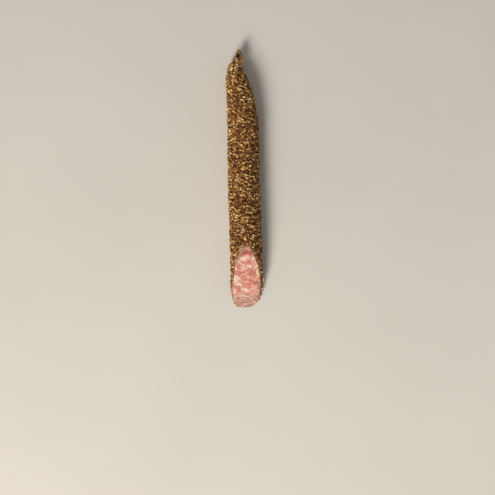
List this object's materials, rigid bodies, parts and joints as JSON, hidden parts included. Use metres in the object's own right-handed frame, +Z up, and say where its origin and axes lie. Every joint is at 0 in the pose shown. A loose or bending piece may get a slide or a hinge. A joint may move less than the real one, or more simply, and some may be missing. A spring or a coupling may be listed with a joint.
{
  "type": "pepper-coated cured sausage",
  "caption": "Stick of dry-cured sausage in a coat of cracked black pepper, twisted casing at one end, cut on a long slant at the other, lying on its side.",
  "frame": {"origin": "bottom centre of the stick's box, on the table it lies on", "axes": "+Y along the stick, towards its twisted end; +X to the right of the stick seen from above with that end away from the viewer; +Z up"},
  "size_m": [0.0389, 0.2673, 0.0295],
  "materials": {
    "pepper_coat": "dry cracked black pepper, matt, with pale broken kernels",
    "cut_meat": "moist cut cured meat, rosy lean marbled with cream fat",
    "casing": "bare dried casing, tan and slightly glossy"
  },
  "bodies": {
    "root": {"peppered_sausage": "pepper_coat"}
  },
  "joints": []
}
